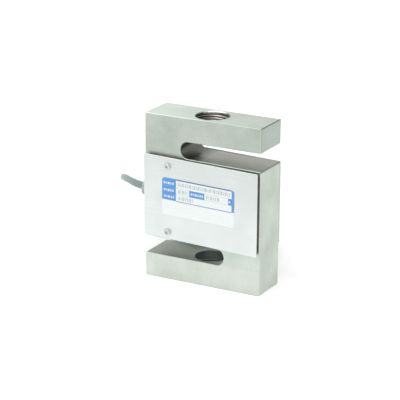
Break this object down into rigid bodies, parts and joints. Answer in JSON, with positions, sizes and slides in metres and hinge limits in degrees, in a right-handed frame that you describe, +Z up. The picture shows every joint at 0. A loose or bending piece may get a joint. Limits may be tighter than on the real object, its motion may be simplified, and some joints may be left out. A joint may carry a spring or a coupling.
{
  "type": "s type load cell",
  "caption": "S shaped steel load cell with a threaded hole in each arm, cover plates over its gauge pockets, a side cable gland and a coiled signal cable.",
  "frame": {"origin": "on the load axis, where it meets the bottom face", "axes": "+Z up along the load axis through both threaded holes, -Y towards the labelled cover plate, -X towards the cable gland"},
  "size_m": [0.117, 0.1016, 0.1016],
  "materials": {
    "machined_steel": "fine ground and nickel plated",
    "cover_aluminium": "satin anodised",
    "gasket_rubber": "matt",
    "screw_steel": "plated",
    "label_foil": "printed film",
    "gauge_film": "foil on an amber carrier",
    "board_laminate": "solder resist",
    "resistor_body": "lacquered",
    "gland_metal": "nickel plated",
    "seal_rubber": "matt",
    "cable_jacket": "soft vinyl",
    "core_red": "vinyl",
    "core_green": "vinyl",
    "core_white": "vinyl",
    "core_black": "vinyl",
    "gauge_wire": "enamelled copper",
    "tie_nylon": "nylon"
  },
  "bodies": {
    "root": {"body": "machined_steel", "front_cover_plate": "cover_aluminium", "front_gasket": "gasket_rubber", "front_screw_upper": "screw_steel", "front_screw_lower": "screw_steel", "front_gauge_rising": "gauge_film", "front_gauge_falling": "gauge_film", "front_wires_rising": "gauge_wire", "front_wires_falling": "gauge_wire", "rear_cover_plate": "cover_aluminium", "rear_gasket": "gasket_rubber", "rear_screw_upper": "screw_steel", "rear_screw_lower": "screw_steel", "rear_gauge_rising": "gauge_film", "rear_gauge_falling": "gauge_film", "rear_wires_rising": "gauge_wire", "rear_wires_falling": "gauge_wire", "rating_label": "label_foil", "terminal_board": "board_laminate", "zero_resistor": "resistor_body", "span_resistor": "resistor_body", "gland_washer": "gland_metal", "gland_body": "gland_metal", "gland_seal": "seal_rubber", "gland_nut": "gland_metal", "cable_lead": "cable_jacket", "cable_coil": "cable_jacket", "cable_tail": "cable_jacket", "coil_tie_left": "tie_nylon", "coil_tie_right": "tie_nylon", "inner_core_red": "core_red", "tail_core_red": "core_red", "inner_core_green": "core_green", "tail_core_green": "core_green", "inner_core_white": "core_white", "tail_core_white": "core_white", "inner_core_black": "core_black", "tail_core_black": "core_black"}
  },
  "joints": []
}
